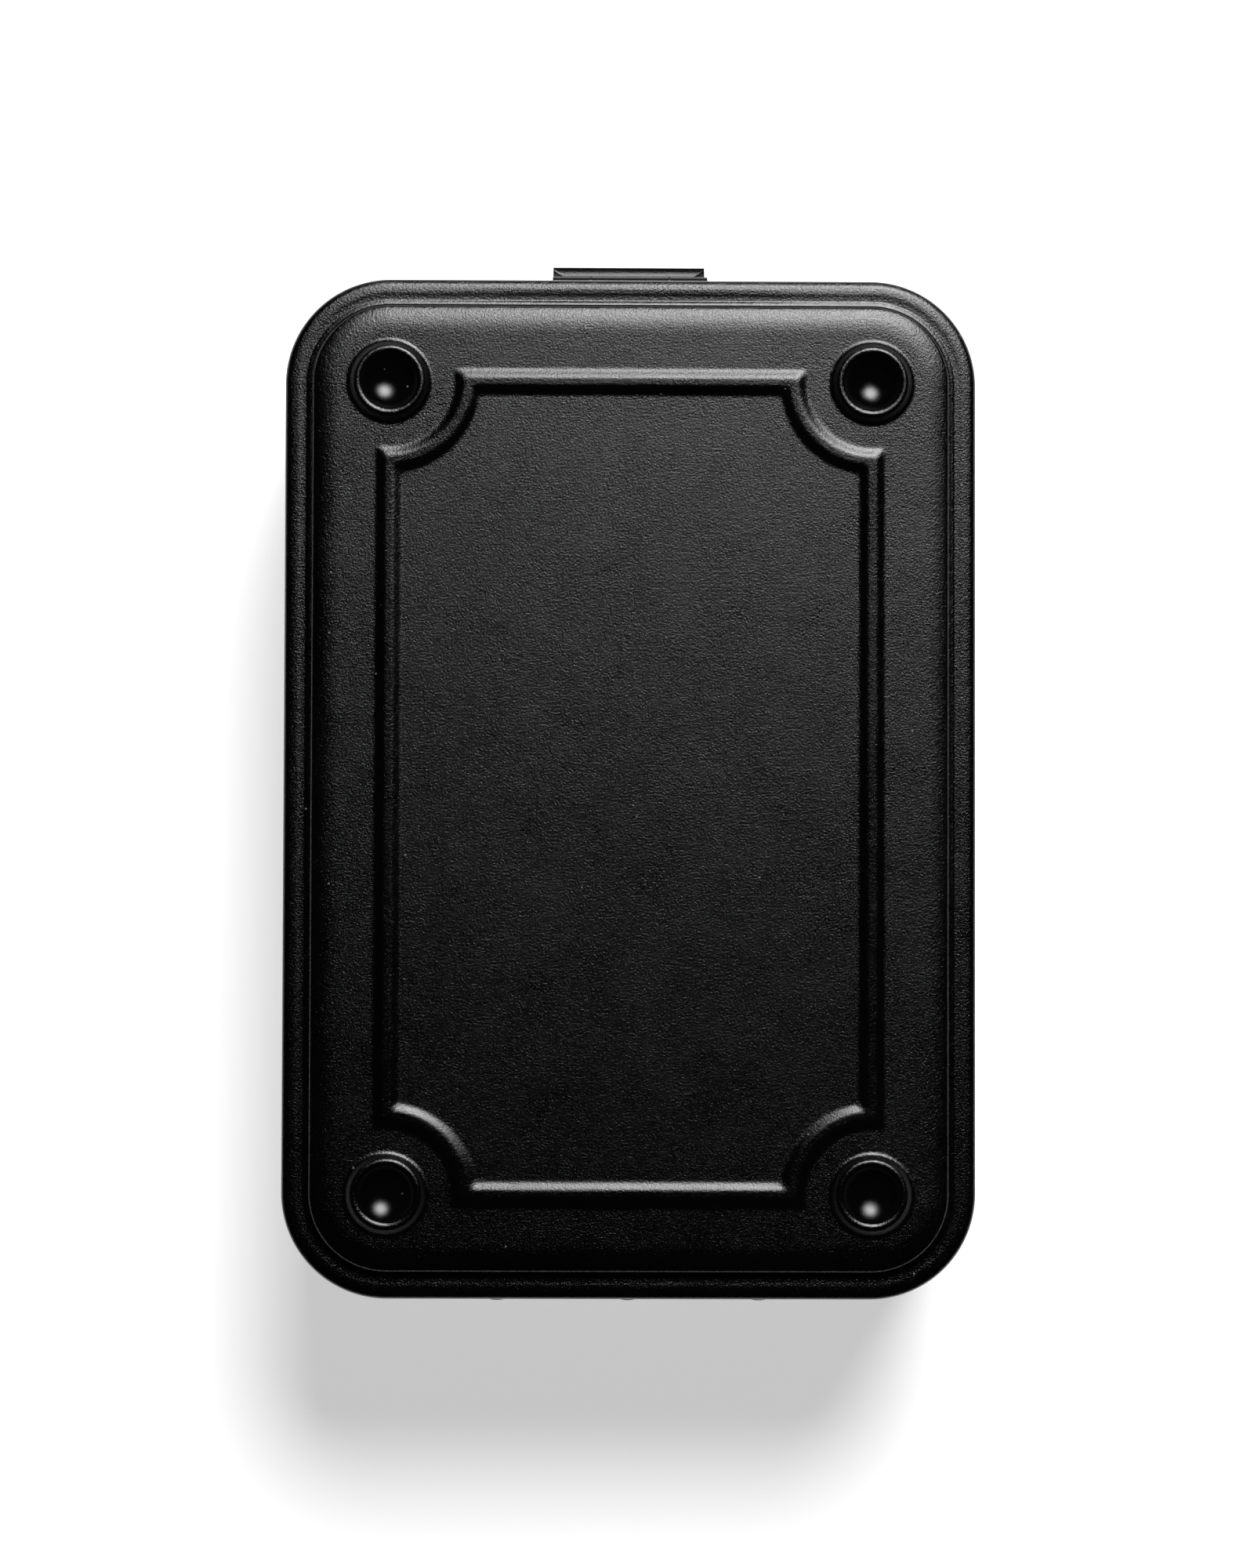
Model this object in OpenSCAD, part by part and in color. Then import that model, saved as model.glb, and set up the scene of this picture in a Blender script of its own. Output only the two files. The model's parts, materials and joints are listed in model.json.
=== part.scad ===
// Stackable pressed-steel lunch box: deep-drawn tray, hinged lid, snap latch.
// X = width, Y = length (latch on -Y, hinge on +Y), Z = up, origin under the middle of the feet.

/* [Body] */

// Outside width of the box
box_w = 105; // [95:1:125]

// Outside length of the box
box_l = 154.6; // [145:0.2:180]

// Overall height, feet to the top of the dish lips
box_h = 53; // [50:1:75]

// Outside corner radius in plan
corner_r = 16; // [15:0.5:20]

// Sheet thickness of lid and tray
sheet_t = 0.4; // [0.35:0.05:0.6]

// Radius of the drawn edge round the tray's bottom
bottom_r = 9; // [6:0.5:10]

// Height of the lid's lower edge above the floor
part_z = 33; // [32:0.5:40]

/* [Lid pressing] */

// Height of the plateau above the rim
plateau_h = 2.1; // [1.8:0.1:2.4]

// Height of the bead frame above the plateau
bead_h = 0.55; // [0.3:0.05:1.0]

// Half width of the bead frame's long rectangle, across
bead_x = 36.6; // [33:0.1:40]

// Half length of the bead frame's long rectangle
bead_y = 61.4; // [58:0.1:70]

// Radius of the bead round each dish
bead_arc_r = 11.9; // [11:0.1:13]

// Opening radius of each dish
dish_r = 4.65; // [4:0.05:5]

// Height of the dish lips above the plateau
dish_h = 1.1; // [0.8:0.05:1.2]

// Sphere radius of each dish's bowl
dish_ball_r = 6.7; // [6.2:0.1:8]

/* [Feet] */

// Height of each pressed foot
foot_h = 1.6; // [1.2:0.1:1.8]

// Radius of each foot at the tray's bottom
foot_r = 4.1; // [3.8:0.1:4.3]

/* [Hinge] */

// Width of the hinge leaves
hinge_w = 50; // [36:1:60]

// Diameter of the hinge wire
hinge_pin_d = 1.0; // [0.8:0.1:1.2]

// Thickness of the hinge leaves
leaf_t = 0.4; // [0.3:0.05:0.5]

/* [Latch] */

// Width of the latch
latch_w = 24; // [18:1:30]

// Diameter of the latch wire
latch_pin_d = 1.2; // [1:0.1:1.4]

// How far the finger lip stands out from the wall
lip_out = 6.4; // [4.5:0.1:7]

/* [Hidden] */

hx = box_w / 2;
hy = box_l / 2;
t = sheet_t;
fit = 0.03;                      // radial running clearance on the wires
band_z = box_h - dish_h;         // plateau between rim and bead
rim_z = band_z - plateau_h;      // rolled rim
pan_z = foot_h;                  // underside of the tray's bottom
neck_u = -1.0;                   // tray neck, set in from the wall
neck_z = part_z + 5;
dish_x = bead_x;
dish_y = bead_y;

// hinge axis, half sunk into a notch in the lid's back skirt
hpr = hinge_pin_d / 2;
hkr = hpr + fit + leaf_t;        // knuckle radius
hinge_y = hy + 0.23;
hinge_z = part_z + 0.7;
knuckle_gap = 0.2;
lid_knuckle_w = hinge_w * 0.4;

// latch axis, on the lid's front skirt
lpr = latch_pin_d / 2;
lkr = lpr + fit + 0.5;
latch_d = lkr + 0.3;             // axis distance from the wall
latch_z = part_z + 3;
latch_knuckle_w = latch_w * 0.5;

rivet_r = 0.8;

$fn = 64;

function arc(cx, cy, r, a0, a1, n = 6) =
    [for (i = [0:n]) let (a = a0 + (a1 - a0) * i / n) [cx + r * cos(a), cy + r * sin(a)]];

// sweeps a profile (first axis outward from the wall, second up) round the box's outline
module round_sweep(prof) {
    lx = hx - corner_r;
    ly = hy - corner_r;
    for (s = [-1, 1]) {
        translate([s * lx, 0, 0]) rotate([90, 0, s > 0 ? 0 : 180])
            linear_extrude(height = 2 * ly, center = true) translate([corner_r, 0]) polygon(prof);
        translate([0, s * ly, 0]) rotate([90, 0, s * 90])
            linear_extrude(height = 2 * lx, center = true) translate([corner_r, 0]) polygon(prof);
    }
    for (c = [[1, 1, 0], [-1, 1, 90], [-1, -1, 180], [1, -1, 270]])
        translate([c[0] * lx, c[1] * ly, 0]) rotate([0, 0, c[2]])
            rotate_extrude(angle = 90) translate([corner_r, 0]) polygon(prof);
}

// flat plate inside the outline, set in by u
module inner_plate(u, z0, z1) {
    r = corner_r - u;
    translate([0, 0, z0]) linear_extrude(height = z1 - z0) union() {
        square([2 * (hx - u), 2 * (hy - corner_r)], center = true);
        square([2 * (hx - corner_r), 2 * (hy - u)], center = true);
        for (x = [-1, 1], y = [-1, 1])
            translate([x * (hx - corner_r), y * (hy - corner_r)]) circle(r = r);
    }
}

// places a shape at the four dishes
module at_dishes() {
    for (x = [-1, 1], y = [-1, 1]) translate([x * dish_x, y * dish_y, 0]) children();
}

// a domed rivet along +Y from the wall: head outside, flat tail inside
module rivet(grip) {
    rotate([-90, 0, 0]) rotate_extrude()
        polygon([[0, -grip - 0.32], [1.15, -grip - 0.32], [1.25, -grip - 0.2], [1.25, -grip],
                 [rivet_r, -grip], [rivet_r, 0], [1.45, 0], [1.3, 0.2], [0.8, 0.36], [0, 0.42]]);
}

// ---- lid ----

// height of the drawn shoulder at a distance v in from the crevice: steep first, then a long easy crown
function crown(v) = let (w = min(v / 5.2, 1), a = 0.91, k = 0.35, b = plateau_h - 0.1 - a)
    rim_z + 0.1 + a * (1 - exp(-v / k)) + b * 2 * (w - w * w * w + w * w * w * w / 2);

function lid_profile() = concat(
    [[-0.12, part_z], [0, part_z + 0.12]],
    arc(-1.3, rim_z - 1.3, 1.3, 0, 90, 7),
    [[-2.2, rim_z - 0.04], [-3.0, rim_z + 0.04], [-3.35, rim_z + 0.3], [-3.6, rim_z + 0.45],
     [-3.8, rim_z + 0.4], [-4.0, rim_z + 0.1]],
    [for (v = [0, 0.08, 0.2, 0.4, 0.7, 1.2, 2, 3, 4, 5.2]) [-4.05 - v, crown(v)]],
    [[-10, band_z], [-10, band_z - t]],
    [for (v = [5.2, 4, 3, 2, 1.2, 0.6, 0.3]) [-4.3 - v, crown(v) - t]],
    [[-4.5, rim_z - t + 0.02], [-3.9, rim_z - t], [-1.3, rim_z - t]],
    arc(-1.3, rim_z - 1.3, 1.3 - t, 90, 0, 5),
    [[-t, part_z + 0.12], [-t + 0.12, part_z]]);

function bead_profile(h, w) = [[-w, -0.2], [-w, 0], [-0.62, h * 0.82], [-0.3, h], [0.3, h],
                               [0.62, h * 0.82], [w, 0], [w, -0.2]];

module bead_path(prof) {
    run_y = dish_y - bead_arc_r;
    run_x = dish_x - bead_arc_r;
    for (s = [-1, 1]) {
        translate([s * bead_x, 0, 0]) rotate([90, 0, 0])
            linear_extrude(height = 2 * run_y, center = true) polygon(prof);
        translate([0, s * bead_y, 0]) rotate([90, 0, 90])
            linear_extrude(height = 2 * run_x, center = true) polygon(prof);
    }
    for (c = [[1, 1, 180], [-1, 1, 270], [-1, -1, 0], [1, -1, 90]])
        translate([c[0] * dish_x, c[1] * dish_y, 0]) rotate([0, 0, c[2]])
            rotate_extrude(angle = 90) translate([bead_arc_r, 0]) polygon(prof);
}

// rounded knobs that close the bead frame's eight outer corners
module bead_knobs(h, w) {
    for (x = [-1, 1], y = [-1, 1]) {
        for (p = [[bead_x, dish_y - bead_arc_r], [dish_x - bead_arc_r, bead_y]])
            translate([x * p[0], y * p[1], 0]) rotate_extrude()
                polygon([[0, -0.2], [w, -0.2], [w, 0], [0.62, h * 0.82], [0.3, h], [0, h]]);
    }
}

function dish_top() = let (c = box_h - 0.1 + sqrt(dish_ball_r * dish_ball_r - dish_r * dish_r))
    concat([for (i = [0:8]) let (a = asin(dish_r / dish_ball_r) * i / 8)
                [dish_ball_r * sin(a), c - dish_ball_r * cos(a)]],
           [[dish_r + 0.12, box_h - 0.02], [dish_r + 0.28, box_h], [dish_r + 0.45, box_h - 0.06],
            [dish_r + 0.8, box_h - 0.6], [dish_r + 1.3, band_z + 0.12], [dish_r + 1.9, band_z]]);

function dish_under() = let (c = box_h - 0.1 + sqrt(dish_ball_r * dish_ball_r - dish_r * dish_r),
                             R = dish_ball_r + t)
    concat([[dish_r + 1.9, band_z - t], [dish_r + 1.0, band_z - t]],
           [for (i = [6:-1:0]) let (a = asin((dish_r - 0.2) / R) * i / 6)
                [R * sin(a), c - R * cos(a)]]);

module lid() {
    color([0.10, 0.10, 0.10]) difference() {
        union() {
            round_sweep(lid_profile());
            inner_plate(9.4, band_z - t, band_z);
            translate([0, 0, band_z]) bead_path(bead_profile(bead_h, 1.9));
            translate([0, 0, band_z]) bead_knobs(bead_h, 1.9);
            at_dishes() translate([0, 0, band_z - t - 0.3]) cylinder(r = dish_r + 1.85, h = t + 0.3);
        }
        // hollow back of the bead and of the panel
        translate([0, 0, band_z - t - 0.01]) bead_path([[-1.3, -0.2], [-1.3, 0], [-0.4, bead_h * 0.85], [0.4, bead_h * 0.85], [1.3, 0], [1.3, -0.2]]);
        at_dishes() translate([0, 0, band_z - t - 1]) cylinder(r = dish_r + 1.4, h = 3);
        // notch for the hinge barrel
        translate([-hinge_w / 2 - 0.4, hy - 1.2, part_z - 1]) cube([hinge_w + 0.8, 3, 3]);
        lid_rivet_holes();
    }
    color([0.10, 0.10, 0.10]) at_dishes() rotate_extrude() polygon(concat(dish_top(), dish_under()));
}

module lid_rivet_holes() {
    for (x = latch_rivet_x()) translate([x, -hy - 1, latch_rivet_z()]) rotate([-90, 0, 0]) cylinder(r = rivet_r, h = 3);
    for (x = hinge_rivet_x()) translate([x, hy - 2, lid_leaf_rivet_z()]) rotate([-90, 0, 0]) cylinder(r = rivet_r, h = 3);
}

// ---- tray ----

function tray_profile() = concat(
    [[-bottom_r - 1, pan_z]],
    arc(-bottom_r, pan_z + bottom_r, bottom_r, -90, 0, 10),
    [[0, part_z - 1.3], [-0.06, part_z - 1.05], [-0.25, part_z - 0.85], [-0.75, part_z - 0.62],
     [-0.94, part_z - 0.45], [neck_u, part_z - 0.2]],
    arc(neck_u - 0.9, neck_z - 0.8, 0.9, 0, 180, 10),
    [[neck_u - 1.8, neck_z - 1.5], [neck_u - 1.8 + t, neck_z - 1.5]],
    arc(neck_u - 0.9, neck_z - 0.8, 0.9 - t, 180, 0, 6),
    [[neck_u - t, part_z - 0.35], [neck_u - t + 0.05, part_z - 0.75], [-t - 0.7, part_z - 1.1],
     [-t - 0.1, part_z - 1.35], [-t, part_z - 1.7]],
    arc(-bottom_r, pan_z + bottom_r, bottom_r - t, 0, -90, 10),
    [[-bottom_r - 1, pan_z + t]]);

function foot_profile() = [
    [0, 0], [2.2, 0], [2.9, 0.16], [3.5, 0.55], [foot_r - 0.15, foot_h - 0.4], [foot_r + 0.15, foot_h - 0.1], [foot_r + 0.5, foot_h],
    [foot_r + 0.8, foot_h],
    [foot_r + 0.8, foot_h + t], [foot_r + 0.1, foot_h + t], [foot_r - 0.5, foot_h + 0.15], [2.9, 0.95], [2.5, 0.72], [2.0, t], [0, t]];

module tray() {
    color([0.10, 0.10, 0.10]) difference() {
        union() {
            round_sweep(tray_profile());
            inner_plate(bottom_r + 0.5, pan_z, pan_z + t);
        }
        at_dishes() translate([0, 0, -1]) cylinder(r = foot_r + 0.6, h = 6);
        for (x = hinge_rivet_x()) translate([x, hy - 2, tray_leaf_rivet_z()]) rotate([-90, 0, 0]) cylinder(r = rivet_r, h = 3);
        for (x = catch_rivet_x()) translate([x, -hy - 1, catch_rivet_z()]) rotate([-90, 0, 0]) cylinder(r = rivet_r, h = 3);
    }
    color([0.10, 0.10, 0.10]) at_dishes() rotate_extrude() polygon(foot_profile());
}

// ---- hinge ----

function hinge_rivet_x() = [-hinge_w * 0.4, 0, hinge_w * 0.4];
function lid_leaf_rivet_z() = part_z + 7.5;
function tray_leaf_rivet_z() = part_z - 6.5;

module knuckle(x0, x1, r, bore) {
    translate([x0, 0, 0]) rotate([0, 90, 0]) difference() {
        cylinder(r = r, h = x1 - x0);
        translate([0, 0, -1]) cylinder(r = bore, h = x1 - x0 + 2);
    }
}

// leaf on the skirt, with one long knuckle in the middle
module lid_hinge_leaf() {
    w = lid_knuckle_w / 2;
    color([0.13, 0.13, 0.13]) {
        difference() {
            translate([-hinge_w / 2, hy, part_z + 2.2]) cube([hinge_w, leaf_t, 8.8]);
            for (x = hinge_rivet_x()) translate([x, hy - 1, lid_leaf_rivet_z()]) rotate([-90, 0, 0]) cylinder(r = rivet_r, h = 3);
        }
        translate([0, hinge_y, hinge_z]) knuckle(-w, w, hkr, hpr + fit);
        difference() {
            translate([-w, hy, hinge_z]) cube([2 * w, leaf_t, part_z + 2.2 - hinge_z]);
            translate([-w - 1, hinge_y, hinge_z]) rotate([0, 90, 0]) cylinder(r = hkr - 0.05, h = 2 * w + 2);
        }
    }
}

// leaf on the tray's wall, with two outer knuckles
module tray_hinge_leaf() {
    w = lid_knuckle_w / 2 + knuckle_gap;
    color([0.13, 0.13, 0.13]) {
        difference() {
            translate([-hinge_w / 2, hy, part_z - 11]) cube([hinge_w, leaf_t, 9.6]);
            for (x = hinge_rivet_x()) translate([x, hy - 1, tray_leaf_rivet_z()]) rotate([-90, 0, 0]) cylinder(r = rivet_r, h = 3);
        }
        for (s = [0, 1]) mirror([s, 0, 0]) {
            translate([0, hinge_y, hinge_z]) knuckle(w, hinge_w / 2, hkr, hpr + fit);
            difference() {
                translate([w, hy, part_z - 1.4]) cube([hinge_w / 2 - w, leaf_t, hinge_z - part_z + 1.4]);
                translate([w - 1, hinge_y, hinge_z]) rotate([0, 90, 0]) cylinder(r = hkr - 0.05, h = hinge_w / 2);
            }
        }
    }
}

module hinge_pin() {
    color([0.45, 0.45, 0.45]) translate([-hinge_w / 2 - 0.3, hinge_y, hinge_z]) rotate([0, 90, 0])
        cylinder(r = hpr, h = hinge_w + 0.6);
}

module lid_hinge_rivets() {
    color([0.13, 0.13, 0.13]) for (x = hinge_rivet_x())
        translate([x, hy + leaf_t, lid_leaf_rivet_z()]) rivet(leaf_t + t);
}

module tray_hinge_rivets() {
    color([0.13, 0.13, 0.13]) for (x = hinge_rivet_x())
        translate([x, hy + leaf_t, tray_leaf_rivet_z()]) rivet(leaf_t + t);
}

// ---- latch ----

function latch_rivet_x() = [-latch_w / 3, latch_w / 3];
function latch_rivet_z() = part_z + 8.5;
function catch_rivet_x() = [-latch_w * 0.375, latch_w * 0.375];
function catch_rivet_z() = part_z - 8.2;

// base plate on the skirt, with two outer knuckles
module latch_bracket() {
    w = latch_knuckle_w / 2 + knuckle_gap;
    color([0.13, 0.13, 0.13]) {
        difference() {
            translate([-latch_w / 2, -hy - 0.5, part_z + 4.4]) cube([latch_w, 0.5, 7]);
            for (x = latch_rivet_x()) translate([x, -hy - 1, latch_rivet_z()]) rotate([-90, 0, 0]) cylinder(r = rivet_r, h = 3);
        }
        for (s = [0, 1]) mirror([s, 0, 0]) {
            translate([0, -hy - latch_d, latch_z]) knuckle(w, latch_w / 2, lkr, lpr + fit);
            difference() {
                translate([w, -hy - 0.8, latch_z]) cube([latch_w / 2 - w, 0.5, part_z + 4.9 - latch_z]);
                translate([w - 1, -hy - latch_d, latch_z]) rotate([0, 90, 0]) cylinder(r = lkr - 0.05, h = latch_w / 2);
            }
        }
    }
}

// section of the latch: strap, inward snap ridge, flared finger lip
function latch_section() = concat(
    [[2.0, latch_z - 1.7], [2.0, part_z - 4.6], [1.62, part_z - 5.4], [1.55, part_z - 6.0], [1.62, part_z - 6.6], [2.0, part_z - 7.4],
     [2.0, part_z - 9.2]],
    arc(2.0 + 4, part_z - 9.2, 4, 180, 262, 9),
    [[lip_out, part_z - 13.2], [lip_out + 0.12, part_z - 13.0], [lip_out, part_z - 12.6]],
    arc(2.0 + 4, part_z - 9.2, 3.4, 262, 180, 9),
    [[2.6, part_z - 7.2], [2.25, part_z - 6.5], [2.18, part_z - 6.0], [2.25, part_z - 5.5], [2.6, part_z - 4.8], [2.6, latch_z - 1.7]]);

module latch_plate() {
    w = latch_knuckle_w / 2;
    color([0.13, 0.13, 0.13]) {
        translate([0, -hy, 0]) rotate([90, 0, -90]) linear_extrude(height = latch_w, center = true) polygon(latch_section());
        translate([0, -hy - latch_d, latch_z]) knuckle(-w, w, lkr, lpr + fit);
        difference() {
            translate([-w, -hy - 2.6, latch_z - 1.7]) cube([2 * w, 0.6, 1.7]);
            translate([-w - 1, -hy - latch_d, latch_z]) rotate([0, 90, 0]) cylinder(r = lkr - 0.05, h = 2 * w + 2);
        }
    }
}

module latch_pin() {
    color([0.45, 0.45, 0.45]) translate([-latch_w / 2 - 0.3, -hy - latch_d, latch_z]) rotate([0, 90, 0])
        cylinder(r = lpr, h = latch_w + 0.6);
}

module latch_bracket_rivets() {
    color([0.13, 0.13, 0.13]) for (x = latch_rivet_x())
        translate([x, -hy - 0.5, latch_rivet_z()]) rotate([0, 0, 180]) rivet(0.5 + t);
}

// catch plate with the outward ridge that the latch snaps under
module tray_catch() {
    w = latch_w * 0.9;
    color([0.13, 0.13, 0.13]) difference() {
        translate([0, -hy, 0]) rotate([90, 0, -90]) linear_extrude(height = w, center = true)
            polygon([[0, part_z - 10.4], [0.5, part_z - 10.4], [0.5, part_z - 5.2], [0.8, part_z - 5.0], [1.15, part_z - 4.6],
                     [1.35, part_z - 4.0], [1.3, part_z - 3.5], [1.0, part_z - 3.0], [0.6, part_z - 2.5], [0.5, part_z - 2.2],
                     [0.5, part_z - 1.6], [0, part_z - 1.6]]);
        for (x = catch_rivet_x()) translate([x, -hy - 2, catch_rivet_z()]) rotate([-90, 0, 0]) cylinder(r = rivet_r, h = 3);
    }
}

module tray_catch_rivets() {
    color([0.13, 0.13, 0.13]) for (x = catch_rivet_x())
        translate([x, -hy - 0.5, catch_rivet_z()]) rotate([0, 0, 180]) rivet(0.5 + t);
}

tray();
lid();
lid_hinge_leaf();
tray_hinge_leaf();
hinge_pin();
lid_hinge_rivets();
tray_hinge_rivets();
latch_bracket();
latch_plate();
latch_pin();
latch_bracket_rivets();
tray_catch();
tray_catch_rivets();
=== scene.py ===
import bmesh
import bpy
import json
import math
import numpy as np
from mathutils import Matrix, Vector

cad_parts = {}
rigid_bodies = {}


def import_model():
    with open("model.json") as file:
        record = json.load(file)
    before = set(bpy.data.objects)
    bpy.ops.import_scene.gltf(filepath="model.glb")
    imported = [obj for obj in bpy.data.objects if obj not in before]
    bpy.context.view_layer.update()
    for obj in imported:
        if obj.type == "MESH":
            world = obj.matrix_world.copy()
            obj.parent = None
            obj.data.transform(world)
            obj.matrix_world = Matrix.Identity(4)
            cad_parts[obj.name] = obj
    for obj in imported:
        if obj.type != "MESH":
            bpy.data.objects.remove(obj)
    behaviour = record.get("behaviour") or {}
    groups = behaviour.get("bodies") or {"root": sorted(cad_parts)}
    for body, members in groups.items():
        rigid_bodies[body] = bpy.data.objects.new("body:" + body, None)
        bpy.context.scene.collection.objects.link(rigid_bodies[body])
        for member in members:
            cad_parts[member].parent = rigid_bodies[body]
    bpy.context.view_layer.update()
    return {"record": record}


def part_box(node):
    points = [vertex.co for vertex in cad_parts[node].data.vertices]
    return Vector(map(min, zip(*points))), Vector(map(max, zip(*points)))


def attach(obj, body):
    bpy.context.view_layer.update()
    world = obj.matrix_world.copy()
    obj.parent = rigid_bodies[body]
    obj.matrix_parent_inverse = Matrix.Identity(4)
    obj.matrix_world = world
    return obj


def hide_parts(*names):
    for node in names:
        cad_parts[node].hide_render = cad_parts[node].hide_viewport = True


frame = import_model()
MM = 0.001


def mm_box(node):
    lo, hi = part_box(node)
    return np.array(lo) * 1000, np.array(hi) * 1000


# ---------------------------------------------------------------- sizes in mm, most from the frame
LID_LO, LID_HI = mm_box("lid")
TRAY_HI = mm_box("tray")[1]
HX, HY = LID_HI[0], LID_HI[1]
TOP_Z = LID_HI[2]
PART_Z = LID_LO[2]
NECK_Z = TRAY_HI[2] - 0.1
FOOT = frame["record"]["mounts"][0]["pos_m"]
DX, DY = FOOT[0] * 1000, FOOT[1] * 1000
CORNER = 16.0  # the outline's corner radius
T = 0.4  # sheet thickness
BEAD_H = 0.43
BAND_Z = TOP_Z - 1.1  # the lid's plateau
RIM_Z = BAND_Z - 2.1  # the rim round it
PAN_Z = 1.6  # the tray's bottom between its feet
U_IN = -7.7  # where a pan's flat middle ends, measured from the outline
TINY = 1e-6


def joint_mm(name):
    for j in frame["record"]["behaviour"]["joints"]:
        if j["name"] == name:
            return np.array(j["pos_m"]) * 1000


# ---------------------------------------------------------------- mesh helpers
def new_object(name, verts, faces, mat, body, replaces=(), attr=None, angle=None):
    """A mesh object in millimetres. An angle marks closed sheet or turned work with sharp edges beyond it."""
    me = bpy.data.meshes.new(name)
    me.from_pydata([tuple(v) for v in (np.asarray(verts) * MM).tolist()], [], faces)
    me.validate()
    me.update()
    if angle:
        bm = bmesh.new()
        bm.from_mesh(me)
        bmesh.ops.recalc_face_normals(bm, faces=bm.faces)
        bm.to_mesh(me)
        bm.free()
    me.shade_smooth()
    if angle:
        me.set_sharp_from_angle(angle=math.radians(angle))
    if attr is not None:
        a = me.attributes.new("burnish", "FLOAT", "POINT")
        a.data.foreach_set("value", np.asarray(attr, dtype=np.float32))
    me.materials.append(mat)
    ob = bpy.data.objects.new(name, me)
    bpy.context.scene.collection.objects.link(ob)
    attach(ob, body)
    if replaces:
        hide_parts(*replaces)
    return ob


def arc(cx, cy, r, a0, a1, n):
    a = np.radians(np.linspace(a0, a1, n + 1))
    return [(cx + r * math.cos(t), cy + r * math.sin(t)) for t in a]


def rounded(points, r, n=4):
    """An open path with its inner vertices rounded off."""
    out = [points[0]]
    for a, b, c in zip(points, points[1:], points[2:]):
        a, b, c = map(np.array, (a, b, c))
        la, lc = np.linalg.norm(a - b), np.linalg.norm(c - b)
        k = min(r, la * 0.45, lc * 0.45)
        p, q = b + (a - b) / la * k, b + (c - b) / lc * k
        for i in range(n + 1):
            w = i / n
            out.append(tuple((1 - w) ** 2 * p + 2 * w * (1 - w) * b + w * w * q))
    out.append(points[-1])
    return out


def smooth(a, b, x):
    w = np.clip((x - a) / (b - a), 0, 1)
    return w * w * (3 - 2 * w)


def soft_max(a, b, k):
    h = np.clip(0.5 + 0.5 * (a - b) / k, 0, 1)
    return b + (a - b) * h + k * h * (1 - h)


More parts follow.
